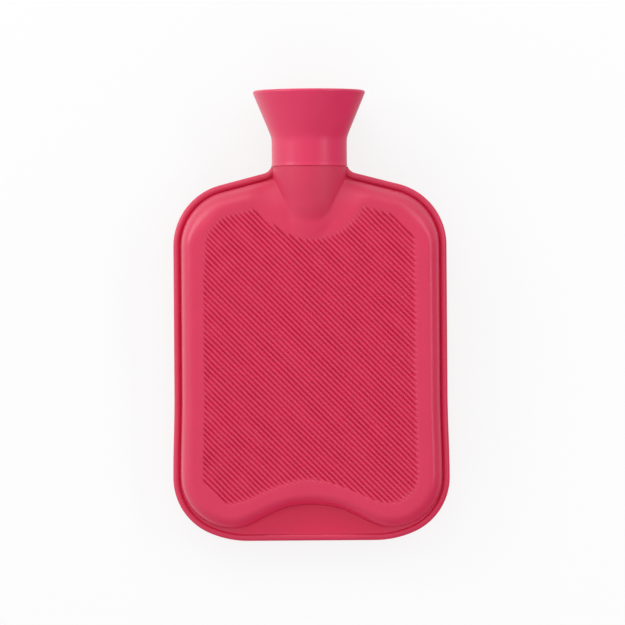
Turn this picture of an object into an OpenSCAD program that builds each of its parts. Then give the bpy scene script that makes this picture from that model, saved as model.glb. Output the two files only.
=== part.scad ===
// Hot water bottle of moulded rubber, lying on its back: a ribbed bag with a beaded edge, a filling
// funnel bonded round its neck, a threaded insert held between the two, a sealing washer and a screw
// stopper. Each piece is drawn in the bottle's own frame, X across, Y from the bottom edge to the
// funnel and Z towards the front face, and resting() then lays it down. Sizes are in millimetres.

/* [Bottle outline] */
// Length from the bottom edge to the top of the funnel's lip
bottle_h = 330; // [318:1:345]
// Width between the straight sides
body_w = 200.4; // [185:0.2:220]
// How far each side swells out above the lower corners
foot_swell = 1.2; // [0:0.1:3]
// Height over which that swell dies away
swell_run = 62; // [40:1:90]
// Radius of the lower corners
low_corner_r = 44; // [40:0.1:50]
// Radius of the flatter arc between a lower corner and the bottom edge
heel_r = 71; // [50:0.5:90]
// Turn of that arc, in degrees
heel_turn = 24; // [10:0.5:40]
// Radius of the upper corners
top_corner_r = 46.2; // [38:0.1:54]
// Distance from the neck's joint down to the upper corners' centres
shoulder_drop = 58.2; // [54:0.1:66]
// Fall of the shoulders away from the neck, in degrees
shoulder_angle = 14.5; // [8:0.5:20]
// Radius of the fillet between shoulder and neck
neck_fillet_r = 8; // [5:0.5:12]

/* [Bag] */
// Half the bag's thickness at its flat panels
bag_half_t = 17.5; // [14:0.1:22]
// Thickness of the bag's rubber
bag_wall = 2.1; // [1.6:0.1:2.6]
// Thickness of the flange that joins the two faces
flange_t = 3; // [2:0.1:4]
// Diameter of the bead along the edge
bead_d = 5.2; // [4.6:0.1:5.4]
// Distance from the edge to the foot of the raised bag
bag_margin = 5.7; // [5.5:0.1:8]
// Width of the rounded shoulder between that foot and the flat panel
shoulder_run = 12; // [9:0.1:15]
// Half the distance between the lowest points of the bag's two lobes
lobe_x = 58; // [50:0.5:66]
// Height of those lowest points
lobe_y = 9.9; // [8:0.1:13]
// Rise of the arch between the lobes
arch_rise = 17.2; // [10:0.1:22]
// How far the arch spreads towards the lobes, 1 for a plain wave
arch_spread = 1.3; // [1:0.05:1.5]

/* [Ribs] */
// Distance between neighbouring ribs
rib_pitch = 2.96; // [2.6:0.02:4]
// Direction of the ribs, in degrees below the X axis
rib_angle = 45; // [30:1:60]
// Height of a rib above its panel
rib_h = 0.9; // [0.5:0.05:1.3]
// Width of a rib at its foot
rib_foot_w = 2.3; // [1.6:0.05:2.5]
// Width of a rib at its crest
rib_crest_w = 0.9; // [0.5:0.05:1.3]
// Length over which a rib runs out at each end
rib_runout = 3; // [1.5:0.1:5]
// Distance from the bag's foot to the ribs
rib_margin = 15.2; // [14.5:0.1:20]
// Radius of the bare patch round the neck's root
bare_r = 40; // [34:0.5:46]
// Distance from the neck's joint down to the lowest point of that patch
bare_drop = 51.7; // [44:0.1:60]

/* [Neck and funnel] */
// Diameter of the neck and of the funnel's collar
neck_d = 55; // [50:0.5:60]
// Length of the funnel, from its joint with the neck to the top of its lip
funnel_h = 55.5; // [50:0.5:60]
// Length over which the neck sinks into the bag
neck_root = 64; // [56:0.5:72]
// Thickness of the neck's wall
neck_wall = 6.5; // [5.8:0.1:7.5]
// Step between the neck and the collar's lower edge
collar_step = 0.3; // [0.1:0.05:0.6]
// Length of the funnel's straight collar
collar_h = 20.8; // [18:0.1:23]
// Radius at which the collar turns into the flare
flare_r = 16; // [4:0.5:24]
// Outer diameter of the funnel's mouth
mouth_d = 82.6; // [76:0.2:90]
// Thickness of the funnel's wall
funnel_wall = 3.2; // [2.6:0.1:3.4]
// Length of the neck's spigot inside the collar
spigot_h = 13.5; // [11:0.1:15]

/* [Insert, washer and stopper] */
// Diameter of the stopper's plug
plug_d = 32; // [28:0.5:34]
// Length of the plug below the washer
plug_h = 15; // [12:0.5:18]
// Wall of the hollow plug
plug_wall = 2.6; // [2:0.1:4]
// Running clearance between the plug and the insert, on the radius
plug_gap = 0.1; // [0.05:0.05:0.3]
// Length of the insert's barrel inside the neck
barrel_h = 19; // [16:0.5:24]
// Thickness of the insert's rim
insert_rim_t = 2.5; // [2:0.1:3.5]
// Fit clearance between the insert, the spigot and the collar, on the radius
fit_gap = 0.15; // [0.1:0.05:0.25]
// Thickness of the sealing washer
washer_t = 2.4; // [1.8:0.1:3.5]
// Width of the washer's ring
washer_w = 3.6; // [3:0.1:4]
// Play between the washer and what it seals against
seal_gap = 0.1; // [0.05:0.05:0.2]
// Thickness of the stopper's head
head_t = 3.2; // [2.5:0.1:4.5]
// Width across the grip
grip_w = 34; // [28:0.5:38]
// Thickness of the grip
grip_t = 6.4; // [5:0.1:8]
// Height of the grip above the head
grip_h = 22; // [18:0.5:25]
// Radius of the grip's two ears
ear_r = 7.8; // [6:0.1:8.5]
// Depth of the dip between the ears
grip_dip = 1.5; // [0.5:0.1:3]
// Width of the grip's stem
stem_w = 17; // [12:0.5:20]
// Depth of the finger dish in each side of the grip
dish_depth = 1.2; // [0.5:0.1:1.8]

/* [Hidden] */
raspberry = [0.86, 0.25, 0.39];
ivory = [0.93, 0.91, 0.86];
seal_grey = [0.62, 0.62, 0.6];

half_w = body_w / 2;
neck_r = neck_d / 2;
bead_r = bead_d / 2;
joint_y = bottle_h - funnel_h;
top_corner_y = joint_y - shoulder_drop;
bare_low_y = joint_y - bare_drop;
corner_steps = 9;
heel_steps = 3;
arch_steps = 9;
side_steps = 4;
shoulder_steps = 5;
root_steps = 8;
bead_sides = 8;
round_steps = 48;

// Centres of the outline's arcs: lower corner, heel, upper corner and neck fillet
heel_end = 270 + heel_turn;
low_corner = [half_w + foot_swell - low_corner_r, heel_r - (heel_r - low_corner_r) * cos(heel_turn)];
heel = low_corner - (heel_r - low_corner_r) * [cos(heel_end), sin(heel_end)];
top_corner = [half_w - top_corner_r, top_corner_y];
neck_fillet_x = neck_r + neck_fillet_r;
neck_fillet = [neck_fillet_x, shoulder_y(neck_fillet_x, top_corner_r + neck_fillet_r)];
// The edge ends just under the joint, which may cut the fillet before it has turned upright
edge_end_y = joint_y - 0.3;
fillet_left = asin(max(0, min(1, (neck_fillet.y - edge_end_y) / neck_fillet_r)));
lobe_r = half_w + foot_swell - bag_margin - lobe_x;

function arc(centre, r, from, to, steps) =
    [for (i = [0:steps]) centre + r * [cos(from + (to - from) * i / steps), sin(from + (to - from) * i / steps)]];

// Height at x of the line parallel to the shoulder, at distance r from the upper corner's centre
function shoulder_y(x, r) =
    top_corner.y + (r - (x - top_corner.x) * sin(shoulder_angle)) / cos(shoulder_angle);

// The side above the lower corner, which ends at from_y, as far as the upper corner
function side(inset, from_y) = [for (i = [1:side_steps])
    let (share = i / side_steps)
    [half_w - inset + foot_swell * (1 + cos(180 * share)) / 2, from_y + swell_run * share]];

// Right half of the bottle's outline, inset, from the bottom's middle to the joint of the neck
function outline_half(inset) = concat(
    [[0, inset]],
    arc(heel, heel_r - inset, 270, heel_end, heel_steps),
    arc(low_corner, low_corner_r - inset, heel_end, 360, corner_steps),
    side(inset, low_corner.y),
    arc(top_corner, top_corner_r - inset, 0, 90 - shoulder_angle, corner_steps),
    arc(neck_fillet, neck_fillet_r + inset, 270 - shoulder_angle, 180 + fillet_left, corner_steps - 3),
    neck_fillet.y < edge_end_y - 0.5 ? [[neck_r - inset, edge_end_y]] : []);

// Underside of the bag between the bottom's middle and a lobe, moved in by inset along its normal
function arch(inset, spread) = [for (i = [0:arch_steps - 1])
    let (
        share = i / arch_steps,
        turn = 180 * pow(share, spread),
        slope = -arch_rise / 2 * PI / lobe_x * spread * pow(share, spread - 1) * sin(turn),
        foot = [lobe_x * i / arch_steps, lobe_y + arch_rise * (1 + cos(turn)) / 2])
    foot + inset * [-slope, 1] / norm([slope, 1])];

// Right half of the raised bag's foot, moved in by inset, from the arch's middle to the neck's axis.
// The ribs end along a plain wave
function bag_half(inset, spread = arch_spread) = concat(
    arch(inset, spread),
    arc([lobe_x, lobe_y + lobe_r], lobe_r - inset, 270, 360, corner_steps),
    side(bag_margin + inset, lobe_y + lobe_r),
    arc(top_corner, top_corner_r - bag_margin - inset, 0, 90 - shoulder_angle, corner_steps),
    [[0, shoulder_y(0, top_corner_r - bag_margin - inset)]]);

// A closed loop from its right half, whose first and last points lie on the axis
function loop(half) = concat(half, [for (i = [len(half) - 2:-1:1]) [-half[i].x, half[i].y]]);
// An open path from the left neck round the bottom to the right neck
function open_path(half) = concat([for (i = [len(half) - 1:-1:1]) [-half[i].x, half[i].y]], half);

// Where a line across direction `normal` at distance c crosses a loop, measured along `along`
function crossings(points, normal, along, c) = [for (i = [0:len(points) - 1])
    let (
        a = points[i],
        b = points[(i + 1) % len(points)],
        da = a * normal - c,
        db = b * normal - c)
    if (da * db < 0) (a + (b - a) * da / (da - db)) * along];

// The ribs of one panel, each as [distance across, start along, end along]
rib_along = [cos(rib_angle), -sin(rib_angle)];
rib_across = [sin(rib_angle), cos(rib_angle)];
rib_field = loop(bag_half(rib_margin, 1));
bare_centre = [0, bare_low_y + bare_r];
field_reach = [for (p = rib_field) p * rib_across];
field_mid = (min(field_reach) + max(field_reach)) / 2;
rib_count = floor((max(field_reach) - min(field_reach)) / rib_pitch) - 1;
shortest_rib = 2 * rib_runout + 1.5;
function spans(c) =
    let (
        ends = crossings(rib_field, rib_across, rib_along, c),
        low = min(ends),
        high = max(ends),
        miss = abs(bare_centre * rib_across - c),
        reach = miss < bare_r ? sqrt(bare_r * bare_r - miss * miss) : 0,
        middle = bare_centre * rib_along)
    reach == 0 || middle - reach > high || middle + reach < low
        ? [[c, low, high]]
        : [[c, low, min(high, middle - reach)], [c, max(low, middle + reach), high]];
ribs = [for (i = [0:rib_count])
    each [for (s = spans(field_mid + rib_pitch * (i - rib_count / 2))) if (s[2] - s[1] > shortest_rib) s]];
crest_low_y = min([for (r = ribs)
    r[0] * rib_across.y + (r[2] - rib_runout) * rib_along.y - rib_crest_w / 2 * rib_across.y]);

// Neck, funnel and insert
spigot_r = neck_r - funnel_wall - fit_gap;
neck_bore_r = neck_r - neck_wall;
spigot_top = joint_y + spigot_h;
insert_top = spigot_top + insert_rim_t;
barrel_low = spigot_top - barrel_h;
insert_rim_r = spigot_r;
insert_bore_r = plug_d / 2 + plug_gap;
retainer_t = 2;
retainer_w = 1.2;
lip_r = funnel_wall / 2;
lip_centre = [mouth_d / 2 - lip_r, bottle_h - lip_r];
flare_y = joint_y + collar_h;
flare_angle = atan2(lip_centre.x + lip_r - neck_r, lip_centre.y - flare_y);

// Washer and stopper
washer_r = plug_d / 2 + seal_gap + washer_w;
washer_low = insert_top + seal_gap;
head_low = washer_low + washer_t + seal_gap;
head_top = head_low + head_t;
plug_low = insert_top - plug_h;

// How the bottle lies: the lip's lowest point and the back ribs' lowest ends touch the ground
lean = [lip_centre.y - crest_low_y, lip_centre.x - bag_half_t - rib_h];
rest_tilt = atan2(lean.y, lean.x) + asin(lip_r / norm(lean));
rest_lift = (bag_half_t + rib_h) * cos(rest_tilt) - crest_low_y * sin(rest_tilt);
rest_near = bead_r * (cos(rest_tilt) - 1);
rest_far = lip_centre.y * cos(rest_tilt) + lip_centre.x * sin(rest_tilt) + lip_r;
module resting() translate([0, -(rest_near + rest_far) / 2, rest_lift]) rotate([rest_tilt, 0, 0]) children();

// A solid through rings of equally many points, closed at each end by a fan round a middle point
module skin(rings, first_middle, last_middle) {
    n = len(rings[0]);
    last = (len(rings) - 1) * n;
    points = concat([for (r = rings) each r], [first_middle, last_middle]);
    walls = [for (k = [0:len(rings) - 2], i = [0:n - 1])
        let (a = k * n + i, b = k * n + (i + 1) % n)
        each [[a, a + n, b], [b, a + n, b + n]]];
    caps = [for (i = [0:n - 1])
        each [[last + n, i, (i + 1) % n], [last + n + 1, last + (i + 1) % n, last + i]]];
    polyhedron(points, concat(walls, caps), convexity = 6);
}

// The pillow of the bag: quarter ellipses rise from its foot to a flat panel on each face
module pillow(wall) {
    rings = [for (k = [-shoulder_steps:shoulder_steps])
        let (turn = 90 * k / shoulder_steps, height = (bag_half_t - wall) * sin(turn))
        [for (p = loop(bag_half(wall + (shoulder_run - wall) * (1 - cos(turn))))) [p.x, p.y, height]]];
    middle_y = (lobe_y + top_corner.y) / 2;
    skin(rings, [0, middle_y, wall - bag_half_t], [0, middle_y, bag_half_t - wall]);
}

// A round bead swept along the edge, from the joint on one side of the neck to the joint on the other
module bead() {
    path = open_path(outline_half(bead_r));
    count = len(path);
    rings = [for (i = [0:count - 1])
        let (
            run = path[min(i + 1, count - 1)] - path[max(i - 1, 0)],
            out = [run.y, -run.x] / norm(run))
        [for (s = [0:bead_sides - 1])
            let (turn = -360 * s / bead_sides, reach = path[i] + bead_r * cos(turn) * out)
            [reach.x, reach.y, bead_r * sin(turn)]]];
    skin(rings, [path[0].x, path[0].y, 0], [path[count - 1].x, path[count - 1].y, 0]);
}

module flange() linear_extrude(flange_t, center = true) polygon(open_path(outline_half(bead_r)));

// Anything turned about the neck's axis, from a profile of [radius, height]
module turned() rotate([-90, 0, 0]) rotate_extrude($fn = round_steps) children();

// Half of an upright ellipse from its lowest point to its widest, as a profile's lower end
function neck_sink(r, low_y, wide_y) = [for (i = [root_steps:-1:0])
    let (turn = 90 * i / root_steps)
    [r * cos(turn), wide_y - (wide_y - low_y) * sin(turn)]];

module neck_outside() turned() polygon(concat(
    neck_sink(neck_r - collar_step, joint_y - neck_root, joint_y),
    [[spigot_r, joint_y], [spigot_r, spigot_top], [0, spigot_top]]));

// The bore is straight as far down as the insert's barrel reaches
module neck_inside() turned() polygon(concat(
    neck_sink(neck_bore_r, joint_y - neck_root + neck_wall, barrel_low - fit_gap),
    [[neck_bore_r, spigot_top + 1], [0, spigot_top + 1]]));

// One rib of the panel, whose flat crest runs out to the panel at both ends
module rib(r) {
    length = r[2] - r[1];
    middle = rib_across * r[0] + rib_along * (r[1] + r[2]) / 2;
    root = 0.3;
    translate([middle.x, middle.y, bag_half_t]) rotate(-rib_angle) hull() {
        translate([0, 0, -root / 2]) cube([length, rib_foot_w, root], center = true);
        translate([0, 0, rib_h / 2]) cube([length - 2 * rib_runout, rib_crest_w, rib_h], center = true);
    }
}

module ribbed_panels() {
    for (face = [0, 1]) mirror([0, 0, face]) for (r = ribs) rib(r);
}

module rubber_bag() color(raspberry) resting() difference() {
    union() {
        pillow(0);
        bead();
        flange();
        neck_outside();
        ribbed_panels();
    }
    pillow(bag_wall);
    neck_inside();
}

// The funnel: a collar over the neck's spigot, then a flare with a rounded lip
module filling_funnel() color(raspberry) resting() turned() {
    blend = flare_r * tan(flare_angle / 2);
    outer_blend = arc([neck_r + flare_r, flare_y - blend], flare_r, 180, 180 - flare_angle, 4);
    lip_side = lip_r * [cos(flare_angle), -sin(flare_angle)];
    inner_r = neck_r - funnel_wall;
    inner_y = flare_y + funnel_wall * tan(flare_angle / 2);
    chamfer = collar_step;
    polygon(concat(
        [[inner_r, joint_y], [neck_r - chamfer, joint_y], [neck_r, joint_y + chamfer]],
        outer_blend,
        [lip_centre + lip_side, lip_centre - lip_side],
        [[inner_r, inner_y], [inner_r, insert_top + retainer_t + retainer_w],
            [inner_r - retainer_w, insert_top + retainer_t], [inner_r - retainer_w, insert_top + fit_gap],
            [inner_r, insert_top + fit_gap]]));
    translate(lip_centre) circle(lip_r);
}

// The insert: a barrel inside the neck, with a rim that sits on the spigot's end
module threaded_insert() color(ivory) resting() turned() {
    barrel_r = neck_bore_r - fit_gap;
    polygon([
        [insert_bore_r, barrel_low], [barrel_r, barrel_low],
        [barrel_r, spigot_top], [insert_rim_r, spigot_top],
        [insert_rim_r, insert_top], [insert_bore_r, insert_top]]);
}

module sealing_washer() color(seal_grey) resting() turned() {
    translate([washer_r - washer_w, washer_low]) square([washer_w, washer_t]);
}

// The grip: a stem that widens into two rounded ears, with a finger dish in each side
module grip() {
    ear_y = head_top + grip_h - ear_r;
    dish_r = grip_h;
    difference() {
        linear_extrude(grip_t, center = true) {
            for (way = [-1, 1])
                translate([way * (grip_w / 2 - ear_r), ear_y]) circle(ear_r, $fn = round_steps);
            translate([ear_r - grip_w / 2, ear_y - ear_r])
                square([grip_w - 2 * ear_r, 2 * ear_r - grip_dip]);
            translate([-stem_w / 2, head_top - 1]) square([stem_w, ear_y - head_top]);
        }
        for (way = [-1, 1])
            translate([0, ear_y, way * (grip_t / 2 - dish_depth + dish_r)])
                rotate([0, 90, 0]) cylinder(h = grip_w + 2, r = dish_r, center = true, $fn = round_steps);
    }
}

// The stopper: a hollow plug under a flat head, with the grip on top
module screw_stopper() color(ivory) resting() {
    difference() {
        union() {
            turned() {
                translate([0, head_low]) square([washer_r, head_t]);
                translate([0, plug_low]) square([plug_d / 2, head_low - plug_low + 1]);
            }
            grip();
        }
        turned() translate([0, plug_low - 1]) square([plug_d / 2 - plug_wall, head_low - plug_low]);
    }
}

rubber_bag();
filling_funnel();
threaded_insert();
sealing_washer();
screw_stopper();
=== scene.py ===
import math

import bmesh
import bpy
import numpy as np
from mathutils import Matrix, Vector
from mathutils.geometry import delaunay_2d_cdt


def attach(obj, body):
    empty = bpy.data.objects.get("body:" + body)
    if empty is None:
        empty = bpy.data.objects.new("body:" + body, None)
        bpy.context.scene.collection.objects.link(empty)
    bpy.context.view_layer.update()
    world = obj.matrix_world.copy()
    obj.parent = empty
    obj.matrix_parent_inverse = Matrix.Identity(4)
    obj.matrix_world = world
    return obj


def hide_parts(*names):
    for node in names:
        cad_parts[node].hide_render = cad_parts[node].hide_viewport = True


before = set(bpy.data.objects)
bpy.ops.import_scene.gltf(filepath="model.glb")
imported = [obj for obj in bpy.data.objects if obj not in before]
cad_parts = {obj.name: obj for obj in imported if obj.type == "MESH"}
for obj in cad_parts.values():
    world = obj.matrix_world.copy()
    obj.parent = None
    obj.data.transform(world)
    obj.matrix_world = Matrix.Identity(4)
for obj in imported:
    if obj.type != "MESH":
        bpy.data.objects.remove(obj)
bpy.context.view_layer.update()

# The bottle's own frame, in millimetres: X across, Y from the bottom edge to the funnel, Z towards
# the front face. LAY takes it to the row frame, in metres, where the bottle lies on its back.
TILT = math.radians(4.34613)
LIFT = 16.2992
SHIFT = 166.028
LAY = (
    Matrix.Scale(0.001, 4)
    @ Matrix.Translation((0, -SHIFT, LIFT))
    @ Matrix.Rotation(TILT, 4, "X")
)
LAY_NP = np.array(LAY)
AXES = LAY.to_3x3().normalized()

# Outline: straight sides that swell towards the feet, corners of two arcs, and sloping shoulders
HALF_W, SWELL, SWELL_RUN = 100.2, 1.2, 62.0
LOW_R, LOW_X, LOW_Y = 44.0, 57.4, 46.33
HEEL_R, HEEL_X, HEEL_TURN = 71.0, 46.4, 24.0
TOP_R, TOP_X, TOP_Y, SLOPE = 46.2, 54.0, 216.3, math.radians(14.5)
# Where the neck meets the shoulders
FILLET_R, FILLET_X, FILLET_END = 8.0, 35.5, 201.0
# Bag: half its thickness, the half-thickness of its edge in the groove and below the arch, the
# distance from the outline to the raised bag, how far that one's foot is rounded out, and the wall
HALF_T, GROOVE_T, WEB_T, MARGIN, FOOT_OUT, WALL = 18.1, 0.9, 1.5, 5.7, 0.25, 2.1
# Its two lobes, with the arch between them
LOBE_X, LOBE_Y, ARCH, SPREAD = 58.0, 9.9, 17.2, 1.3
LOBE_R = HALF_W + SWELL - MARGIN - LOBE_X
# How far the panels swell, the reach of that to the sides and along, and the height of its middle
CROWN, CROWN_X, CROWN_Y, CROWN_MID = 0.8, 84.0, 92.0, 150.0
BEAD_W, BEAD_H = 2.7, 2.6
# Width of the rounded shoulder along each stretch of the bag's foot, and beside the neck. FULL is how
# full its section is along the sides and the arch, where 2 is a quarter ellipse
RUN_ARCH, RUN_LOBE, RUN_SIDE, RUN_CORNER, RUN_TOP, RUN_NECK = 8.8, 10.0, 10.5, 15.0, 12.8, 27.0
FULL = 2.5
# The band along the edge: how far it reaches in from the foot below the arch and elsewhere, and how
# far it comes to the neck
BAND_ARCH, BAND_SIDE, BAND_X = 11.6, 15.0, 31.0
# Neck and funnel: the joint between them, the neck's radius there and the depth at which it would
# close, the collar's radius, and the funnel's top, wall and rim
JOINT, NECK_R, NECK_ROOT, COLLAR_R = 274.5, 27.2, 66.0, 27.6
FUNNEL_TOP, FUNNEL_WALL, RIM_R = 330.0, 3.2, 1.6
# The neck's tip gets flatter below TIP_Y, and below SOFT_Y its edge gets softer. CREASE and TIP_SOFT
# are the heights over which the edge blends into the bag, above and at the tip
TIP_Y, TIP_RUN, TIP_FLAT = 246.0, 16.0, 0.6
SOFT_Y, SOFT_RUN, CREASE, TIP_SOFT = 243.0, 14.0, 0.5, 4.5
# The bore through the neck: its radius, its straight part's end, and the depth at which it would close
BORE_R, BORE_END, BORE_ROOT = 21.0, 268.8, 51.8
# The thread: its rise in one turn, its ridge's width at the foot and at the top, and steps in a turn
LEAD, RIDGE_W, RIDGE_TOP, TURN_STEPS = 5.7, 3.0, 1.1, 96
# Ribs
PITCH, GROOVE_D, RIB_MARGIN, RIB_END = 2.96, 1.7, 15.4, 6.5
# How far they waver to the side, and the grooves in depth, as a share of it
SWAY, WAVER = 0.16, 0.2
BARE, BARE_R = np.array([0, 262.8]), 40.0
ALONG = np.array([math.cos(math.radians(45)), -math.sin(math.radians(45))])
ACROSS = np.array([math.sin(math.radians(45)), math.cos(math.radians(45))])


def lerp(a, b, t):
    return a + (b - a) * t


def smooth(t):
    t = np.clip(t, 0, 1)
    return t * t * (3 - 2 * t)


def arc(cx, cy, r, a0, a1, n):
    a = np.radians(np.linspace(a0, a1, n, endpoint=False))
    return np.column_stack([cx + r * np.cos(a), cy + r * np.sin(a)])


def shoulder_y(x, r):
    return TOP_Y + (r - (x - TOP_X) * math.sin(SLOPE)) / math.cos(SLOPE)


# How many points each stretch of the outline's right half has. The heel is part of the lower one
N_LOW, N_HEEL, N_CORNER, N_SWELL, N_SIDE, N_TOP, N_SHOULDER = 34, 10, 34, 18, 20, 34, 12
N_UPPER = N_SWELL + N_SIDE


def upper_half(inset, from_y):
    """The outline's right half above a lower corner that ends at from_y, up to beside the neck."""
    t = np.linspace(0, 1, N_SWELL, endpoint=False)
    x = HALF_W - inset + SWELL * (1 + np.cos(np.pi * t)) / 2
    swell = np.column_stack([x, from_y + SWELL_RUN * t])
    y = np.linspace(from_y + SWELL_RUN, TOP_Y, N_SIDE, endpoint=False)
    side = np.column_stack([np.full(N_SIDE, HALF_W - inset), y])
    r = TOP_R - inset
    top = arc(TOP_X, TOP_Y, r, 0, 90 - math.degrees(SLOPE), N_TOP)
    start = np.array([TOP_X + r * math.sin(SLOPE), TOP_Y + r * math.cos(SLOPE)])
    end = np.array([BAND_X, shoulder_y(BAND_X, r)])
    t = np.linspace(0, 1, N_SHOULDER)[:, None]
    return np.vstack([swell, side, top, lerp(start, end, t)])


def outline_half(inset):
    """The right half of the bottle's outline, moved in by inset, from the middle of the bottom edge."""
    n = N_LOW - N_HEEL
    low = np.column_stack([np.linspace(0, HEEL_X, n, endpoint=False), np.full(n, inset)])
    heel = arc(HEEL_X, HEEL_R, HEEL_R - inset, 270, 270 + HEEL_TURN, N_HEEL)
    corner = arc(LOW_X, LOW_Y, LOW_R - inset, 270 + HEEL_TURN, 360, N_CORNER)
    return np.vstack([low, heel, corner, upper_half(inset, LOW_Y)])


def bag_half(inset, spread=SPREAD):
    """The raised bag's foot, moved in by inset. The ribs end along a plain wave, with a spread of 1."""
    t = np.linspace(0, 1, N_LOW, endpoint=False)
    turn = np.pi * t**spread
    slope = -ARCH / 2 * np.pi / LOBE_X * spread * t ** (spread - 1) * np.sin(turn)
    length = np.sqrt(slope**2 + 1)
    y = LOBE_Y + ARCH * (1 + np.cos(turn)) / 2
    arch = np.column_stack([LOBE_X * t - inset * slope / length, y + inset / length])
    corner = arc(LOBE_X, LOBE_Y + LOBE_R, LOBE_R - inset, 270, 360, N_CORNER)
    return np.vstack([arch, corner, upper_half(MARGIN + inset, LOBE_Y + LOBE_R)])


def both_sides(half):
    """An open path from the left end round the bottom to the right end."""
    left = half[:0:-1] * [-1, 1]
    return np.vstack([left, half])


def mirror_run(values):
    """Values along the right half, given to both halves of a path from both_sides."""
    return np.concatenate([values[:0:-1], values])


# The bag's foot, and the direction from each of its points into the bag
BAG_FOOT = both_sides(bag_half(-FOOT_OUT))
BAG_IN = both_sides(bag_half(1 - FOOT_OUT)) - BAG_FOOT
# What varies along it: the shoulder's width and fullness, where the band along the edge ends, and
# whether the point is on the straight shoulders
CORNER_BUMP = np.sin(np.pi * np.linspace(0, 1, N_TOP)) ** 1.5
BAG_RUN = mirror_run(np.concatenate([
    lerp(RUN_ARCH, RUN_LOBE, smooth(np.linspace(-0.6, 1, N_LOW))),
    lerp(RUN_LOBE, RUN_SIDE, np.linspace(0, 1, N_CORNER)),
    np.full(N_UPPER, RUN_SIDE),
    lerp(RUN_SIDE, RUN_TOP, smooth(np.linspace(0, 1, N_TOP))) + (RUN_CORNER - RUN_SIDE) * CORNER_BUMP,
    np.full(N_SHOULDER, RUN_TOP),
]))
BAG_FULL = mirror_run(np.concatenate([
    np.full(N_LOW + N_CORNER + N_UPPER, FULL),
    lerp(FULL, 2, smooth(np.linspace(0, 1.6, N_TOP))),
    np.full(N_SHOULDER, 2.0),
]))
BAND_END = mirror_run(np.concatenate([
    np.full(N_LOW, BAND_ARCH),
    lerp(BAND_ARCH, BAND_SIDE, smooth(np.linspace(0, 1.6, N_CORNER))),
    np.full(N_UPPER + N_TOP + N_SHOULDER, BAND_SIDE),
]))
ON_TOP = mirror_run(np.repeat([False, True], [N_LOW + N_CORNER + N_UPPER + N_TOP, N_SHOULDER]))


def panel_height(x, y):
    """Half the bag's thickness at its panels, which swell a little towards the middle."""
    sides = np.clip(1 - (x / CROWN_X) ** 2, 0, 1)
    ends = np.clip(1 - ((y - CROWN_MID) / CROWN_Y) ** 2, 0, 1)
    return HALF_T + CROWN * sides * ends


def top_run(x):
    """The straight shoulders' width, which grows beside the neck."""
    return lerp(RUN_NECK, RUN_TOP, smooth((np.abs(x) - 26) / 19))


def shoulder_height(depth, run, x, y, full=2.0):
    """Height at a distance from the bag's foot: a quarter of a rounded form, then the panel."""
    t = np.clip(1 - depth / run, 0, 1)
    return GROOVE_T + (panel_height(x, y) - GROOVE_T) * np.clip(1 - t**full, 0, 1) ** (1 / full)


def neck_radius(y):
    """The neck narrows down into the bag, and turns in a little where the funnel's collar begins."""
    r = NECK_R * np.sqrt(np.clip(1 - ((JOINT - y) / NECK_ROOT) ** 2, 0, 1))
    return r - 0.15 * smooth((y - JOINT + 1) / 1)


def neck_height(x, y):
    """The neck's round front, which goes on below the middle plane outside its sides."""
    q = neck_radius(y) ** 2 - x * x
    return np.sign(q) * np.sqrt(np.abs(q))


def blend_up(a, b, k):
    """The higher of two surfaces, blended over a height k."""
    h = np.clip(k - np.abs(a - b), 0, None) / k
    return np.maximum(a, b) + h * h * k / 4


def bag_height(x, y):
    """The front surface inside the band without the neck."""
    depth = (shoulder_y(np.abs(x), TOP_R - MARGIN + FOOT_OUT) - y) * math.cos(SLOPE)
    return np.where(depth > 0, shoulder_height(depth, top_run(x), x, y), GROOVE_T)


def front_height(x, y):
    """The front surface inside the band: the bag and the neck that sinks into it, flatter at its tip."""
    bag = bag_height(x, y)
    over = neck_height(x, y) - bag
    neck = bag + np.where(over > 0, over * lerp(1, TIP_FLAT, smooth((TIP_Y - y) / TIP_RUN)), over)
    return blend_up(bag, neck, lerp(CREASE, TIP_SOFT, smooth((SOFT_Y - y) / SOFT_RUN)))


class Shell:
    """Collects points and faces of one mesh, in the bottle's frame."""

    def __init__(self):
        self.points, self.faces, self.count = [], [], 0

    def add(self, points, faces):
        points = np.asarray(points, float)
        self.points.append(points)
        self.faces += [tuple(int(i) + self.count for i in f) for f in faces]
        self.count += len(points)

    def strip(self, rows, loop=False, close=False):
        """A grid from rows of equally many points.

        With loop each row's ends are joined, and with close the last row to the first.
        """
        rows = np.asarray(rows, float)
        m, n = rows.shape[:2]
        faces = []
        for i in range(m if close else m - 1):
            for j in range(n if loop else n - 1):
                a, b = i * n + j, i * n + (j + 1) % n
                c, d = ((i + 1) % m) * n + (j + 1) % n, ((i + 1) % m) * n + j
                faces.append((a, b, c, d))
        self.add(rows.reshape(-1, 3), faces)

    def mirrored(self):
        """Adds the same again on the back."""
        self.add(np.vstack(self.points) * [1, 1, -1], [f[::-1] for f in self.faces])

    def build(self, name, weld=2e-6):
        points = np.vstack(self.points)
        world = points @ LAY_NP[:3, :3].T + LAY_NP[:3, 3]
        # The rubber lies flat where it rests
        world[:, 2] = np.maximum(world[:, 2], 0)
        mesh = bpy.data.meshes.new(name)
        mesh.from_pydata(world.tolist(), [], self.faces)
        obj = bpy.data.objects.new(name, mesh)
        bpy.context.scene.collection.objects.link(obj)
        if weld:
            bm = bmesh.new()
            bm.from_mesh(mesh)
            bmesh.ops.remove_doubles(bm, verts=bm.verts, dist=weld)
            bmesh.ops.dissolve_degenerate(bm, dist=1e-7, edges=bm.edges)
            bmesh.ops.recalc_face_normals(bm, faces=bm.faces)
            # The topmost face looks up, so the others look out
            top = max(bm.faces, key=lambda f: f.calc_center_median().z)
            if top.normal.z < 0:
                bmesh.ops.reverse_faces(bm, faces=bm.faces)
            bm.to_mesh(mesh)
            bm.free()
        mesh.shade_smooth()
        return obj


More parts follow.
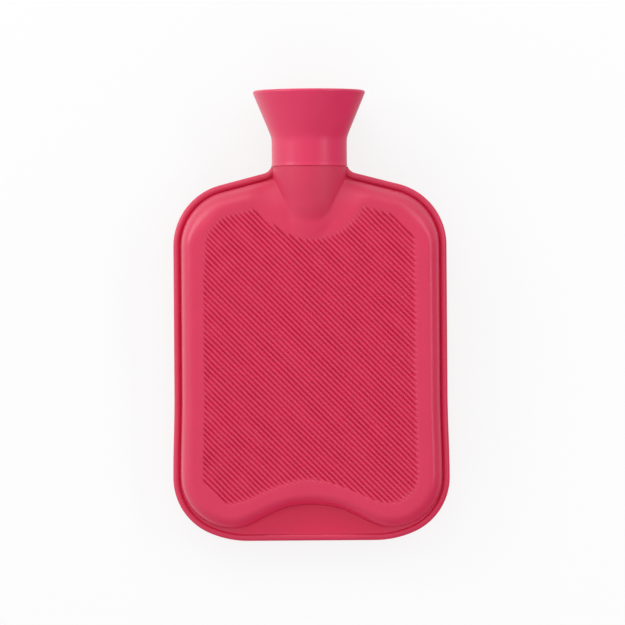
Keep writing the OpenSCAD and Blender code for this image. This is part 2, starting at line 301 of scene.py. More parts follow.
def crossings(points, c):
    """Where the line at c crosses a closed outline, as places along the ribs."""
    a, b = points, np.roll(points, -1, axis=0)
    da, db = a @ ACROSS - c, b @ ACROSS - c
    hit = da * db < 0
    p = a[hit] + (b[hit] - a[hit]) * (da[hit] / (da[hit] - db[hit]))[:, None]
    return p @ ALONG


# Where the points of a rib's section lie across it, from the bottom of one groove to the next
SECTION = np.array([0, 0.07, 0.17, 0.27, 0.4, 0.6, 0.73, 0.83, 0.93, 1])
# Where they lie along each of its ends, as shares of the run-out, and how many lie between the ends
TAPER = np.array([0, 0.18, 0.4, 0.68])
N_ALONG = 12
# The shortest part of a rib, and how far one ends from where the two parts meet
SHORTEST, SPARE = 6, 8


def line_spans(field, c):
    """The two parts of a line across the field, and how much the bare patch parts them."""
    ends = crossings(field, c)
    if len(ends) < 2:
        return [(0, 0), (0, 0)], 0
    low, high = ends.min(), ends.max()
    centre = BARE @ ALONG
    miss = abs(BARE @ ACROSS - c)
    parted = smooth((BARE_R + 3 - miss) / 3)
    if miss < BARE_R:
        gap = math.sqrt(BARE_R**2 - miss**2)
        return [(low, min(high, centre - gap)), (max(low, centre + gap), high)], parted
    spare = min((high - low) / 3, SPARE)
    middle = np.clip(centre, low + spare, high - spare)
    return [(low, middle), (middle, high)], parted


def uneven(p):
    """A slight unevenness of the moulded ribs, from -1 to 1, the same for all that share a point."""
    x, y = p[..., 0], p[..., 1]
    across = np.sin(0.31 * x + 2.1 * np.sin(0.117 * y))
    return (across + np.sin(0.27 * y + 1.7 * np.sin(0.093 * x + 1))) / 2


def rib_rows():
    """Grids of points, one for each part of a rib, with the depth of the grooves on both its sides."""
    half = bag_half(RIB_MARGIN, 1)
    top = np.array([[0, shoulder_y(0, TOP_R - MARGIN - RIB_MARGIN)]])
    field = np.vstack([half, top, half[:0:-1] * [-1, 1]])
    reach = field @ ACROSS
    mid = (reach.min() + reach.max()) / 2
    count = int((reach.max() - reach.min()) / PITCH) - 1
    cuts = {}
    for i in range(count + 1):
        lines = [mid + PITCH * (i - count / 2 + u - 0.5) for u in SECTION]
        spans = [line_spans(field, c) for c in lines]
        for side in (0, 1):
            if all(ends[side][1] - ends[side][0] > SHORTEST for ends, _ in spans):
                cuts[i, side] = [(c, *ends[side], parted) for c, (ends, parted) in zip(lines, spans)]
    grids = []
    for (i, side), rows in cuts.items():
        grid, cut = [], []
        for u, (c, low, high, parted) in zip(SECTION, rows):
            end = min(RIB_END, 0.42 * (high - low))
            inner = np.linspace(low + end, high - end, N_ALONG)
            t = np.concatenate([low + end * TAPER, inner, (high - end * TAPER)[::-1]])
            grid.append(t[:, None] * ALONG + c * ACROSS)
            # A groove runs out at the field's edge and at the bare patch, and needs a rib on each side
            fade = [smooth((t - low) / end), smooth((high - t) / end)]
            other = i + (1 if u > 0.5 else -1)
            if not all((k, part) in cuts for k in (i, other) for part in (0, 1)):
                parted = 1
            fade[1 - side] = lerp(1, fade[1 - side], parted)
            shared = (other, side) in cuts
            cut.append(GROOVE_D * shared * abs(2 * u - 1) ** 2.1 * fade[0] * fade[1])
        grid = np.array(grid)
        cut = np.array(cut) * (1 + WAVER * uneven(grid[..., ::-1] + 40))
        grids.append((grid + SWAY * uneven(grid)[..., None] * ACROSS, cut))
    return grids


def inside_odd(points, a, b):
    """Whether each point has an odd number of edges a-b to its right."""
    result = np.zeros(len(points), bool)
    for start in range(0, len(points), 2000):
        p = points[start : start + 2000]
        ya, yb = a[:, 1][None], b[:, 1][None]
        py = p[:, 1][:, None]
        spans = (ya > py) != (yb > py)
        with np.errstate(divide="ignore", invalid="ignore"):
            x = a[:, 0][None] + (py - ya) * (b[:, 0] - a[:, 0])[None] / (yb - ya)
        result[start : start + 2000] = (spans & (x > p[:, 0][:, None])).sum(1) % 2 == 1
    return result


def band_rows():
    """The band along the edge: from the panel down the shoulder and over the groove to the bead."""
    edge = both_sides(outline_half(BEAD_W))
    away = edge - BAG_FOOT
    gap = np.linalg.norm(away, axis=1)
    away /= gap[:, None]
    wide = smooth((gap - 4) / 8)
    web = lerp(GROOVE_T, WEB_T, wide)
    rows = []
    for u in (90, 87, *range(84, 0, -6)):
        share = 1 - math.cos(math.radians(u))
        depth = np.minimum(BAG_RUN * share, BAND_END - 0.3) if u < 90 else BAND_END
        p = BAG_FOOT + BAG_IN * depth[:, None]
        run = np.where(ON_TOP, top_run(p[:, 0]), BAG_RUN)
        rows.append(np.column_stack([p, shoulder_height(depth, run, *p.T, BAG_FULL)]))
    # A fine ridge follows the arch's foot
    for reach, ridge in ((0, -0.15), (0.45, 0.05), (0.8, 0.3), (1.15, 0)):
        rows.append(np.column_stack([BAG_FOOT + away * reach, web + ridge * wide]))
    for share in (0.25, 0.5, 0.75, 1):
        reach = lerp(1.15, gap, share)
        rows.append(np.column_stack([BAG_FOOT + away * reach[:, None], web]))
    return rows


def fillet_path(n):
    """The bead's middle line round the fillet between shoulder and neck."""
    centre = np.array([FILLET_X, shoulder_y(FILLET_X, TOP_R + FILLET_R)])
    a = np.radians(np.linspace(270 - math.degrees(SLOPE), FILLET_END, n))
    return centre + (FILLET_R + BEAD_W) * np.column_stack([np.cos(a), np.sin(a)])


def crease_points():
    """Points along the line where the neck's surface meets the bag's, and close to it on both sides."""
    points = []
    x = np.linspace(4, 27, 400)
    for y in np.arange(228, 264, 0.7):
        above = neck_height(x, np.full(400, y)) > bag_height(x, np.full(400, y))
        if above.any() and not above.all():
            cross = x[above][-1]
            for step in (-0.9, -0.45, -0.18, 0, 0.18, 0.45, 0.9):
                points += [(cross + step, y), (-cross - step, y)]
    return np.array(points)


def loop_edges(n, first):
    """The edges of a closed loop of n points."""
    i = np.arange(n)
    return first + np.column_stack([i, (i + 1) % n])


def grid_border(grid):
    """The points along a grid's four sides."""
    m, n = grid.shape[:2]
    ring = [(0, j) for j in range(n - 1)] + [(i, n - 1) for i in range(m - 1)]
    ring += [(m - 1, j) for j in range(n - 1, 0, -1)] + [(i, 0) for i in range(m - 1, 0, -1)]
    return np.array([grid[i, j] for i, j in ring])


def filling_border(rows, bead_path, y_meet):
    """The filling's outer boundary.

    It follows the band's inner row, its end beside the neck, the bead's middle line to the neck's
    side, which it meets at y_meet, and the neck's upper end.
    """
    panel = rows[0][:, :2]
    column = np.array([r[-1][:2] for r in rows])
    heights = np.concatenate([np.linspace(y_meet, JOINT - 1, 4), [JOINT - 0.5]])
    sides = np.column_stack([neck_radius(heights), heights])
    phi = np.radians(np.linspace(90, -90, 49))
    crest = np.column_stack([neck_radius(JOINT) * np.sin(phi), np.full(49, JOINT)])
    right = np.vstack([column[1:], bead_path, sides, crest[:24]])
    half = len(panel) // 2
    return np.vstack([panel[half:], right, crest[24:25], (right * [-1, 1])[::-1], panel[:half]])


def merged(loops):
    """The loops' points and edges. Where two ribs share a boundary, it's none of the filling's."""
    starts = np.cumsum([0] + [len(loop) for loop in loops])
    edges = np.vstack([loop_edges(len(loop), first) for loop, first in zip(loops, starts)])
    verts = np.vstack(loops)
    key = np.round(verts, 5)
    _, first, back = np.unique(key, axis=0, return_index=True, return_inverse=True)
    e = np.sort(back.reshape(-1)[edges], axis=1)
    e, count = np.unique(e, axis=0, return_counts=True)
    used, packed = np.unique(e[count == 1], return_inverse=True)
    return verts[first][used], packed.reshape(-1, 2)


# The fine grid round the neck's root: its lower and upper end, its reach to the sides, and its step
ROOT_LOW, ROOT_TOP, ROOT_X, ROOT_STEP = 218, 252, 42, 1.25


def filling_points(a, b):
    """Points inside the boundary, whose edges are a-b, and none closer than 0.4 mm to it.

    They are a fine grid round the neck's root, rows that follow the neck's round side, and the crease.
    """
    crease = crease_points()
    free = []
    x = np.arange(-ROOT_X, ROOT_X + 0.1, ROOT_STEP)
    for y in np.arange(ROOT_LOW, ROOT_TOP, ROOT_STEP):
        free.append(np.column_stack([x, np.full(len(x), y)]))
    for y in [*np.arange(ROOT_TOP, JOINT - 1.2, 1.1), JOINT - 1, JOINT - 0.5]:
        s = np.radians(np.arange(-88, 89, 4))
        free.append(np.column_stack([neck_radius(y) * np.sin(s), np.full(len(s), y)]))
        outer = neck_radius(y) + np.array([0.4, 1.1, 2.0, 2.9])
        free.append(np.column_stack([outer, np.full(4, y)]))
        free.append(np.column_stack([-outer, np.full(4, y)]))
    free = np.vstack(free)
    clear = np.array([np.hypot(*(crease - p).T).min() > 0.8 for p in free])
    free = np.vstack([free[clear], crease])
    free = free[inside_odd(free, a, b)]
    keep = np.ones(len(free), bool)
    ab = (b - a)[None]
    for start in range(0, len(free), 500):
        p = free[start : start + 500][:, None]
        t = np.clip(((p - a[None]) * ab).sum(2) / (ab**2).sum(2), 0, 1)
        d = np.sqrt((((a[None] + ab * t[..., None]) - p) ** 2).sum(2)).min(1)
        keep[start : start + 500] = d > 0.4
    return free[keep]


def front_face(shell):
    """The front of the bag: the band along the edge, the ribs, and a filling up to the neck."""
    rows = band_rows()
    shell.strip(rows)
    patches = []
    for grid, cut in rib_rows():
        z = front_height(grid[..., 0], grid[..., 1]) - cut
        shell.strip(np.concatenate([grid, z[..., None]], axis=2))
        patches.append(grid)
    bead_path = np.array([p for p in fillet_path(24) if neck_radius(p[1]) + 0.05 < p[0] < BAND_X - 0.3])
    y_meet = bead_path[-1][1] + 0.8
    border = filling_border(rows, bead_path, y_meet)
    verts, edges = merged([border] + [grid_border(grid) for grid in patches])
    a, b = verts[edges[:, 0]], verts[edges[:, 1]]
    every = np.vstack([verts, filling_points(a, b)])
    out = delaunay_2d_cdt(
        [Vector(p) for p in every.tolist()], [tuple(x) for x in edges.tolist()], [], 0, 1e-7, True
    )
    new = np.array([[v.x, v.y] for v in out[0]])
    tris = np.array([f for f in out[2] if len(f) == 3])
    tris = tris[inside_odd(new[tris].mean(1), a, b)]
    z = front_height(new[:, 0], new[:, 1])
    # The points that went in keep their full precision
    for new_i, olds in enumerate(out[3]):
        if olds:
            new[new_i] = every[olds[0]]
    # The boundary takes the band's own heights
    shared = np.vstack([*[row[-1:] for row in rows], *[row[:1] for row in rows], rows[0]])
    heights = {tuple(xy): z_band for xy, z_band in zip(np.round(shared[:, :2], 4), shared[:, 2])}
    for i, p in enumerate(np.round(new, 4)):
        z[i] = heights.get(tuple(p), z[i])
    on_side = np.abs(np.abs(new[:, 0]) - neck_radius(new[:, 1])) < 1e-3
    z[on_side & (new[:, 1] > y_meet - 0.01)] = 0
    shell.add(np.column_stack([new, z]), tris.tolist())


def bead(shell):
    """The bead along the whole edge, up to the neck's joint on both sides."""
    curve = fillet_path(18)
    half = outline_half(BEAD_W)
    # The straight stretch of the shoulder ends where the fillet begins
    half = half[~((half[:, 1] > TOP_Y + 20) & (half[:, 0] < curve[0][0] + 0.5))]
    path = both_sides(np.vstack([half, curve]))
    run = np.gradient(path, axis=0)
    run /= np.linalg.norm(run, axis=1)[:, None]
    out = np.column_stack([run[:, 1], -run[:, 0]])
    sides = 28
    s = 2 * np.pi * np.arange(sides) / sides
    rows = []
    for p, o in zip(path, out):
        xy = p + BEAD_W * np.cos(s)[:, None] * o
        rows.append(np.column_stack([xy, BEAD_H * np.sin(s)]))
    shell.strip(rows, loop=True)
    for row in (rows[0], rows[-1]):
        shell.add(row, [tuple(range(sides))])


def circle(r, y, n):
    """A level circle of n points about the bottle's axis."""
    s = 2 * np.pi * np.arange(n) / n
    return np.column_stack([r * np.cos(s), np.full(n, y), r * np.sin(s)])


def revolve(shell, profile, n, closed=False):
    """Turns a profile of (radius, height) about the bottle's axis."""
    shell.strip([circle(r, y, n) for r, y in profile], loop=True, close=closed)


def bag_inside(shell):
    """The inside of the bag, and the bore that opens into it."""
    flat = HALF_T - WALL
    run = np.where(ON_TOP, top_run(BAG_FOOT[:, 0]), BAG_RUN)
    rows = []
    for u in np.radians(90 * np.arange(-10, 11) / 10):
        p = BAG_FOOT + BAG_IN * (WALL + (run - WALL) * (1 - math.cos(u)))[:, None]
        rows.append(np.column_stack([p, np.full(len(p), flat * math.sin(u))])[::3])
    shell.strip(rows)
    for ring in (rows[0], rows[-1]):
        n = len(ring)
        shell.add(np.vstack([ring, [[0, 140, ring[0, 2]]]]), [(i, (i + 1) % n, n) for i in range(n)])
    # The bore widens like the neck's outside. Only what lies outside the bag's own inside is wanted
    n = 72
    rows = []
    for u in np.radians(np.linspace(0, 80, 14)):
        rows.append(circle(BORE_R * math.cos(u), BORE_END - BORE_ROOT * math.sin(u), n))
    rows = np.array(rows)
    wanted = (np.abs(rows[..., 2]) > flat - 0.2) | (rows[..., 1] > 246)
    faces = []
    for i in range(len(rows) - 1):
        for j in range(n):
            k = (j + 1) % n
            if wanted[i : i + 2, [j, k]].all():
                faces.append((i * n + j, i * n + k, (i + 1) * n + k, (i + 1) * n + j))
    shell.add(rows.reshape(-1, 3), faces)


def make_bag():
    skin, edge, spigot, inside = Shell(), Shell(), Shell(), Shell()
    front_face(skin)
    skin.mirrored()
    bead(edge)
    # The spigot above the joint and the upper bore
    profile = [(NECK_R - 0.45, JOINT), (26.6, JOINT + 0.05), (24.15, JOINT + 0.05)]
    profile += [(24.15, 287.6), (23.8, 288), (21.3, 288), (BORE_R, 287.7), (BORE_R, BORE_END)]
    revolve(spigot, profile, 96)
    bag_inside(inside)
    shells = {"bag_skin": skin, "bag_bead": edge, "bag_spigot": spigot, "bag_inside": inside}
    return join([shell.build(name) for name, shell in shells.items()], "ribbed_bag")


def join(objects, name):
    """Makes one object of several, which keeps the first one's place."""
    with bpy.context.temp_override(active_object=objects[0], selected_editable_objects=objects):
        bpy.ops.object.join()
    objects[0].name = name
    return objects[0]


def round_corner(a, corner, b, r, n):
    """Points that round the corner between two straight runs by a radius."""
    a, corner, b = (np.array(p, float) for p in (a, corner, b))
    u, v = (a - corner) / np.linalg.norm(a - corner), (b - corner) / np.linalg.norm(b - corner)
    half = math.acos(np.clip(u @ v, -1, 1)) / 2
    reach = r / math.tan(half)
    centre = corner + (u + v) / np.linalg.norm(u + v) * r / math.sin(half)
    p, q = corner + u * reach - centre, corner + v * reach - centre
    out = []
    for t in np.linspace(0, 1, n):
        d = lerp(p, q, t)
        out.append(tuple(centre + d / np.linalg.norm(d) * r))
    return out


def make_funnel():
    r = COLLAR_R
    profile = [(24.35, JOINT + 0.02), (26.5, JOINT + 0.02)]
    # The collar's lower edge stands out as a fine lip
    profile += round_corner((26.5, JOINT), (r + 0.35, JOINT), (r + 0.3, JOINT + 1), 0.15, 4)
    profile += [(r + out, JOINT + up) for out, up in ((0.25, 0.8), (0.1, 1.5), (0.02, 2.2), (0, 3.5))]
    # Outside, from the collar up: the lean grows quickly at first, then slowly to that of the flare
    lean_at = [291.3, 293.0, 295.6, 296.1, 299.0, 302.0]
    leans = np.radians([0, 3.5, 11, 16.5, 20.5, 22.6])
    flare = np.linspace(306, FUNNEL_TOP - RIM_R, 8)
    y = np.concatenate([[JOINT + 8], np.linspace(290.5, 303, 34), flare])
    lean = np.interp(y, lean_at, leans)
    x = r + np.concatenate([[0], np.cumsum(np.diff(y) * np.tan((lean[1:] + lean[:-1]) / 2))])
    # The rim: a half circle that goes over from the outside to the inside
    angle = leans[-1]
    centre = np.array([x[-1] - RIM_R / math.cos(angle), y[-1]])
    keep = y < centre[1] - RIM_R * math.sin(angle) - 0.3
    profile += list(zip(x[keep], y[keep]))
    for t in np.linspace(-angle, math.pi - angle, 14):
        profile.append((centre[0] + RIM_R * math.cos(t), centre[1] + RIM_R * math.sin(t)))
    # Inside, down to the ledge over the insert
    inner_r = r - FUNNEL_WALL
    inner_y = 295.3 + FUNNEL_WALL * math.tan(angle / 2)
    a = np.array(profile[-1])
    profile += [tuple(lerp(a, np.array([inner_r, inner_y]), t)) for t in (0.25, 0.5, 0.75)]
    profile += round_corner(tuple(a), (inner_r, inner_y), (inner_r, inner_y - 2), 3.5, 6)
    profile += round_corner((inner_r, 294.5), (inner_r, 293.9), (23.2, 292.8), 0.4, 4)
    profile += round_corner((inner_r, 293.9), (23.1, 292.5), (23.1, 290.7), 0.4, 4)
    profile += [(23.1, 290.7), (24.3, 290.7), (24.35, 288)]
    shell = Shell()
    revolve(shell, profile, 192, closed=True)
    return shell.build("flared_funnel")


def thread(shell, root, crest, low, high, start, inward=False):
    """A right-hand thread ridge that runs out into its wall at both ends."""
    turns = (high - low) / LEAD
    n = int(turns * TURN_STEPS)
    bury = root + (0.25 if inward else -0.25)
    half, foot, top = RIDGE_W / 2, RIDGE_W / 2 - 0.1, RIDGE_TOP / 2
    rows = []
    for i in range(n + 1):
        t = i / n
        a = start + 2 * math.pi * turns * t
        y = low + (high - low) * t
        tip = lerp(root, crest, smooth(min(t, 1 - t) * turns * 5))
        section = [(bury, -half), (root, -foot), (tip, -top), (tip, top), (root, foot), (bury, half)]
        # The angle grows from +X towards -Z, which is counter-clockwise seen from the funnel's mouth
        rows.append([(r * math.cos(a), y + dy, -r * math.sin(a)) for r, dy in section])
    shell.strip(rows, loop=True)
    shell.add(rows[0], [(0, 1, 2, 3, 4, 5)])
    shell.add(rows[-1], [(5, 4, 3, 2, 1, 0)])


# Where the insert's and the stopper's threads begin
INSERT_LOW, STOPPER_LOW = 271.5, 277.6


def make_insert():
    profile = [(16.1, 269.6), (16.6, 269), (20.5, 269), (20.85, 269.4), (20.85, 288), (23.8, 288)]
    profile += [(24.1, 288.3), (24.1, 290.2), (23.8, 290.5), (16.9, 290.5), (16.3, 290.3), (16.1, 289.7)]
    shell = Shell()
    revolve(shell, profile, 144, closed=True)
    body = shell.build("insert_ring")
    ridge = Shell()
    thread(ridge, 16.1, 14.75, INSERT_LOW, 287.3, 0.0, inward=True)
    return join([body, ridge.build("insert_thread", weld=0)], "insert_ring")


def make_washer():
    shell = Shell()
    low, high, r0, r1 = 290.6, 293.0, 16.1, 19.7
    profile = []
    for (x, y), (px, py), (nx, ny) in (
        ((r1, low), (r0, low), (r1, high)),
        ((r1, high), (r1, low), (r0, high)),
        ((r0, high), (r1, high), (r0, low)),
        ((r0, low), (r0, high), (r1, low)),
    ):
        profile += round_corner((px, py), (x, y), (nx, ny), 0.5, 5)
    revolve(shell, profile, 128, closed=True)
    return shell.build("washer_ring")


def make_stopper():
    plug = Shell()
    profile = [(0, 292.1), (13.0, 292.1), (13.3, 291.8), (13.3, 276.0), (13.6, 275.5), (14.2, 275.5)]
    profile += [(14.6, 275.9), (14.6, 290.4), (15.6, 290.9), (15.6, 293.1), (19.2, 293.1), (19.7, 293.6)]
    profile += [(19.7, 295.7), (19.4, 296.15), (18.8, 296.3), (9.0, 296.3), (0, 296.3)]
    revolve(plug, profile, 144)
    # The ridge runs half a lead above the insert's, between its turns
    ridge = Shell()
    start = 2 * math.pi * (STOPPER_LOW - INSERT_LOW + LEAD / 2) / LEAD
    thread(ridge, 14.6, 15.95, STOPPER_LOW, 289.0, start)
    # The grip: an outline of two ears on a stem, dished on both faces, with rounded edges
    ear, reach, stem, foot_y, top_y = 7.8, 17.0, 8.5, 296.0, 318.3
    ear_y = top_y - ear
    # From the stem's foot on the right, up and round the right ear to the middle of the dip
    outline = [(stem + out, foot_y + up) for out, up in ((2.2, 0), (0.9, 1.2), (0.2, 3), (0, 5))]
    for a in np.radians(np.linspace(-58, 98, 22)):
        outline.append((reach - ear + ear * math.cos(a), ear_y + ear * math.sin(a)))
    outline += [(5.0, top_y - 0.9), (2.5, top_y - 1.4), (0, top_y - 1.55)]
    pts = np.array(outline + [(-x, y) for x, y in outline[-2::-1]])
    n = len(pts)
    run = np.roll(pts, -1, axis=0) - np.roll(pts, 1, axis=0)
    run /= np.linalg.norm(run, axis=1)[:, None]
    thick = 3.2
    grid = []
    for shrink, z in ((0, 0), (0, 1.9), (0.15, 2.5), (0.5, 2.95), (1.1, thick)):
        q = pts - shrink * np.column_stack([run[:, 1], -run[:, 0]])
        q[0], q[-1] = (pts[0] - [shrink, 0]), (pts[-1] + [shrink, 0])
        grid.append(np.column_stack([q, np.full(n, float(z))]))
    middle = np.array([0, ear_y])
    edge = grid[-1][:, :2]
    for k, t in enumerate((0.85, 0.7, 0.5, 0.3, 0.12), 1):
        q = middle + (edge - middle) * t
        dish = 1.2 * np.clip(1 - ((q[:, 1] - ear_y) / 7.4) ** 2, 0, 1)
        grid.append(np.column_stack([q, thick - dish * smooth(k / 2)]))
    grip = Shell()
    grip.strip(grid, loop=True)
    grip.add(grid[-1], [tuple(range(n))])
    grip.mirrored()
    parts = [plug.build("stopper_body"), ridge.build("stopper_thread", weld=0)]
    return join([*parts, grip.build("stopper_grip")], "stopper_screw")


bag = make_bag()
funnel = make_funnel()
insert = make_insert()
washer = make_washer()
stopper = make_stopper()

# Materials


def new_node(nodes, kind, values=None, **settings):
    """A shader node with its settings and its sockets' values."""
    node = nodes.new("ShaderNode" + kind)
    for name, value in settings.items():
        setattr(node, name, value)
    for socket, value in (values or {}).items():
        node.inputs[socket].default_value = value
    return node


def node_material(name):
    mat = bpy.data.materials.new(name)
    mat.use_nodes = True
    return mat, mat.node_tree.nodes, mat.node_tree.links, mat.node_tree.nodes["Principled BSDF"]


def mixed_shaders(nodes, links, share, first, second):
    """The first shader where share is 0, and the second where it's 1."""
    mix = nodes.new("ShaderNodeMixShader")
    for socket, source in zip(mix.inputs, (share, first, second)):
        links.new(source, socket)
    return mix.outputs[0]


def tinted(nodes, links, colour, tint, share):
    """A colour, multiplied by a tint as far as share says."""
    mix = new_node(nodes, "Mix", data_type="RGBA", blend_type="MULTIPLY")
    mix.inputs["B"].default_value = (*tint, 1)
    links.new(share, mix.inputs["Factor"])
    links.new(colour, mix.inputs["A"])
    return mix.outputs["Result"]


def on_shaded_flange(nodes, links, place):
    """1 on the thin flange below the arch, where the painted shade goes, and 0 elsewhere."""
    own = new_node(nodes, "Mapping", vector_type="TEXTURE")
    own.inputs["Location"].default_value = LAY.translation
    own.inputs["Rotation"].default_value = (TILT, 0, 0)
    own.inputs["Scale"].default_value = (0.001, 0.001, 0.001)
    links.new(place, own.inputs["Vector"])
    apart = nodes.new("ShaderNodeSeparateXYZ")
    links.new(own.outputs["Vector"], apart.inputs[0])
    share = None
    # Its middle, and the distances from there between which it ends
    for axis, middle, inner, outer in (("X", 0, 50, 62), ("Y", 20, 13.8, 14.8), ("Z", 0, 2.6, 5.0)):
        away = new_node(nodes, "Math", {1: middle}, operation="SUBTRACT")
        links.new(apart.outputs[axis], away.inputs[0])
        size = new_node(nodes, "Math", operation="ABSOLUTE")
        links.new(away.outputs[0], size.inputs[0])
        ends = {"From Min": inner, "From Max": outer, "To Min": 1, "To Max": 0}
        near = new_node(nodes, "MapRange", ends)
        links.new(size.outputs[0], near.inputs["Value"])
        if share:
            links.new(share, near.inputs["To Min"])
        share = near.outputs["Result"]
    return share


# Width of the patches in which colour and gloss change a little
PATCH_MM = 24
# Over which stretch of the row frame's Y, in metres, the bag takes on painted shade and grows more matt
# towards its neck
NECK_SHADE_MATT_FROM, NECK_SHADE_MATT_TO = 0.066, 0.086


def moulded(name, dark, light, rough, grain_mm, grain, specular=0.5, neck=0.0, flange=None):
    """A moulded surface: faint changes of colour and gloss in patches, and a fine grain.

    With neck the bag's neck gets painted shade, a darker colour, and is more matt, and flange tints the
    flange below the arch darker as painted shade.
    """
    mat, nodes, links, bsdf = node_material(name)
    place = nodes.new("ShaderNodeTexCoord").outputs["Object"]
    patches = new_node(nodes, "TexNoise", {"Scale": 1000 / PATCH_MM, "Detail": 4})
    links.new(place, patches.inputs["Vector"])
    ramp = new_node(nodes, "Mix", data_type="RGBA")
    ramp.inputs["A"].default_value = (*dark, 1)
    ramp.inputs["B"].default_value = (*light, 1)
    links.new(patches.outputs["Fac"], ramp.inputs["Factor"])
    apart = nodes.new("ShaderNodeSeparateXYZ")
    links.new(place, apart.inputs[0])
    # Painted shade: towards the neck the colour is darkened by up to a tenth, and the roughness rises by
    # as much as neck says
    upper = new_node(nodes, "MapRange", {"From Min": NECK_SHADE_MATT_FROM, "From Max": NECK_SHADE_MATT_TO, "To Max": neck})
    links.new(apart.outputs["Y"], upper.inputs["Value"])
    colour = tinted(nodes, links, ramp.outputs["Result"], (0.5, 0.5, 0.5), upper.outputs["Result"])
    # Painted shade: the flange below the arch is tinted darker and a deeper red, for the shade that
    # falls under the arch
    if flange:
        colour = tinted(nodes, links, colour, flange, on_shaded_flange(nodes, links, place))
    links.new(colour, bsdf.inputs["Base Color"])
    spread = {"From Min": 0.3, "From Max": 0.7, "To Min": rough - 0.03, "To Max": rough + 0.03}
    gloss = new_node(nodes, "MapRange", spread)
    links.new(patches.outputs["Fac"], gloss.inputs["Value"])
    total = nodes.new("ShaderNodeMath")
    links.new(gloss.outputs["Result"], total.inputs[0])
    links.new(upper.outputs["Result"], total.inputs[1])
    links.new(total.outputs[0], bsdf.inputs["Roughness"])
    fine = new_node(nodes, "TexNoise", {"Scale": 1000 / grain_mm, "Detail": 3})
    links.new(place, fine.inputs["Vector"])
    bump = new_node(nodes, "Bump", {"Strength": grain, "Distance": 0.0001})
    links.new(fine.outputs["Fac"], bump.inputs["Height"])
    links.new(bump.outputs["Normal"], bsdf.inputs["Normal"])
    bsdf.inputs["Specular IOR Level"].default_value = specular
    return mat


def linear(r, g, b):
    """A colour's linear values from its 8-bit ones."""
    return tuple(((c / 255 + 0.055) / 1.055) ** 2.4 if c > 10 else c / 255 / 12.92 for c in (r, g, b))


# neck=0.2 paints shade on the bag's neck and makes it more matt; flange paints shade on the flange below
# the arch
BAG = moulded(
    "bag_rubber_satin", (0.67, 0.0185, 0.08), (0.73, 0.0235, 0.094), 0.32, 0.9, 0.25,
    specular=0.58, neck=0.2, flange=(1.04, 0.25, 0.78),
)
FUNNEL = moulded(
    "funnel_rubber_satin", (0.70, 0.0205, 0.097), (0.745, 0.0245, 0.108), 0.36, 0.7, 0.12, specular=0.55
)
INSERT = moulded("insert_plastic_ivory", linear(224, 218, 204), linear(236, 231, 219), 0.34, 0.6, 0.12)
WASHER = moulded("washer_rubber_grey", linear(146, 146, 142), linear(160, 160, 156), 0.62, 0.5, 0.3)
STOPPER = moulded("stopper_plastic_ivory", linear(228, 223, 211), linear(238, 234, 223), 0.3, 0.6, 0.1)

for obj, mat, slot, body, node in (
    (bag, BAG, "bag_rubber", "bottle", "rubber_bag"),
    (funnel, FUNNEL, "funnel_rubber", "bottle", "filling_funnel"),
    (insert, INSERT, "insert_plastic", "bottle", "threaded_insert"),
    (washer, WASHER, "washer_rubber", "washer", "sealing_washer"),
    (stopper, STOPPER, "stopper_plastic", "stopper", "screw_stopper"),
):
    obj.data.materials.clear()
    obj.data.materials.append(mat)
    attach(obj, body)
    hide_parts(node)

# Floor, light and camera

bpy.ops.mesh.primitive_plane_add(size=14, location=(0, 0, 0))
floor = bpy.context.object
floor.name = "floor"
mat, nodes, links, bsdf = node_material("floor_white")
bsdf.inputs["Base Color"].default_value = (0.68, 0.68, 0.68, 1)
bsdf.inputs["Roughness"].default_value = 0.9
bsdf.inputs["Specular IOR Level"].default_value = 0.1
# The camera sees it paler than it is, and it keeps the shadow
white = new_node(nodes, "Emission", {"Strength": 1.09})
seen = new_node(nodes, "Math", {1: 0.74}, operation="MULTIPLY")
links.new(nodes.new("ShaderNodeLightPath").outputs["Is Camera Ray"], seen.inputs[0])
shown = mixed_shaders(nodes, links, seen.outputs[0], bsdf.outputs[0], white.outputs[0])
links.new(shown, nodes["Material Output"].inputs["Surface"])
floor.data.materials.append(mat)
floor.visible_glossy = False

# The bottle's middle, and how far from it the lamps are, in metres
MIDDLE = LAY @ Vector((0, 166, 0))
LAMP_AWAY = 1.9


def softbox(name, azimuth, elevation, width, height, power):
    """A lamp turned from the view axis to +X by azimuth, and towards the funnel by elevation."""
    az, el = math.radians(azimuth), math.radians(elevation)
    to = AXES @ Vector((math.sin(az) * math.cos(el), math.sin(el), math.cos(az) * math.cos(el)))
    data = bpy.data.lights.new(name, "AREA")
    data.shape, data.size, data.size_y = "RECTANGLE", width, height
    data.energy = power
    lamp = bpy.data.objects.new(name, data)
    y = AXES @ Vector((0, 1, 0))
    y = (y - to * y.dot(to)).normalized()
    turn = Matrix((y.cross(to), y, to)).transposed().to_4x4()
    lamp.matrix_world = Matrix.Translation(MIDDLE + to * LAMP_AWAY) @ turn
    bpy.context.scene.collection.objects.link(lamp)


softbox("key_top", -26, 54, 1.4, 0.55, 6.7)
softbox("key_left", -60, 28, 0.7, 1.3, 8.4)
softbox("fill_right", 47, 24, 0.32, 2.4, 8.5)

world = bpy.data.worlds.new("studio")
world.use_nodes = True
nodes, links = world.node_tree.nodes, world.node_tree.links
way = nodes.new("ShaderNodeSeparateXYZ")
links.new(nodes.new("ShaderNodeTexCoord").outputs["Generated"], way.inputs[0])


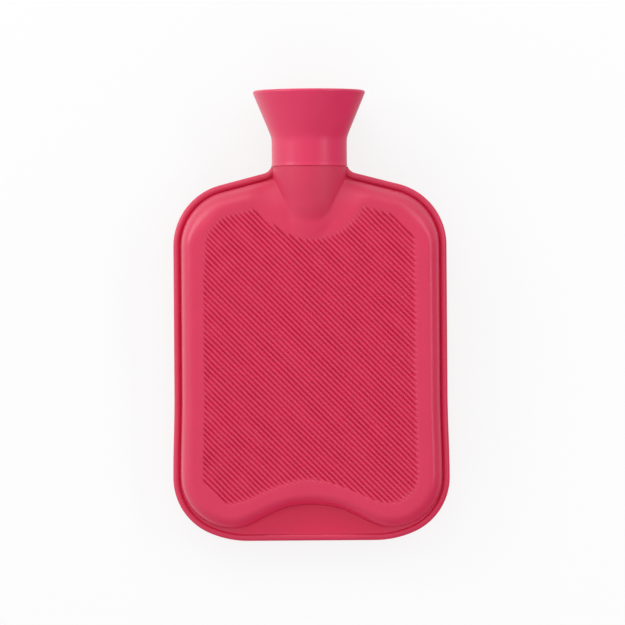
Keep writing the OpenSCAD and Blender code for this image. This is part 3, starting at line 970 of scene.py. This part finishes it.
def skylight(across, along, low, high):
    """A white dome whose strength changes evenly with the direction's X and Y."""
    up = new_node(nodes, "Math", {1: along}, operation="MULTIPLY")
    links.new(way.outputs["Y"], up.inputs[0])
    lean = new_node(nodes, "Math", {1: across}, operation="MULTIPLY_ADD")
    links.new(way.outputs["X"], lean.inputs[0])
    links.new(up.outputs[0], lean.inputs[2])
    span = new_node(nodes, "MapRange", {"From Min": -1, "To Min": low, "To Max": high})
    links.new(lean.outputs[0], span.inputs["Value"])
    dome = new_node(nodes, "Background", {"Color": (1, 1, 1, 1)})
    links.new(span.outputs["Result"], dome.inputs["Strength"])
    return dome.outputs[0]


# What lights the rubber, stronger from below and from the left, and what it mirrors
ambient = skylight(-0.35, -1.7, 0.37, 0.96)
mirrored = skylight(-0.7, 1, 0.0, 1.8)
backdrop = new_node(nodes, "Background", {"Color": (0.985, 0.985, 0.985, 1)})
rays = nodes.new("ShaderNodeLightPath")
light = mixed_shaders(nodes, links, rays.outputs["Is Glossy Ray"], ambient, mirrored)
shown = mixed_shaders(nodes, links, rays.outputs["Is Camera Ray"], light, backdrop.outputs[0])
links.new(shown, nodes["World Output"].inputs["Surface"])
bpy.context.scene.world = world

# The camera looks square onto the front face, from 3.9 m, turned so that the bottle leans a little
# left. Millimetres per pixel, the image's width in pixels, where it aims, and the camera's distance
SCALE, PIXELS, AIM_X, AIM_Y, AWAY = 0.7333, 625, 1.55, 167.2, 3900.0
data = bpy.data.cameras.new("camera")
data.sensor_width = 36
data.lens = data.sensor_width * AWAY / (SCALE * PIXELS)
data.clip_end = 50
camera = bpy.data.objects.new("camera", data)
roll = math.radians(0.40)
up = Vector((math.sin(roll), math.cos(roll), 0))
back = Vector((0, 0, 1))
turn = AXES @ Matrix((up.cross(back), up, back)).transposed()
camera.matrix_world = Matrix.Translation(LAY @ Vector((AIM_X, AIM_Y, AWAY))) @ turn.to_4x4()
bpy.context.scene.collection.objects.link(camera)
bpy.context.scene.camera = camera
bpy.context.scene.view_settings.view_transform = "Standard"
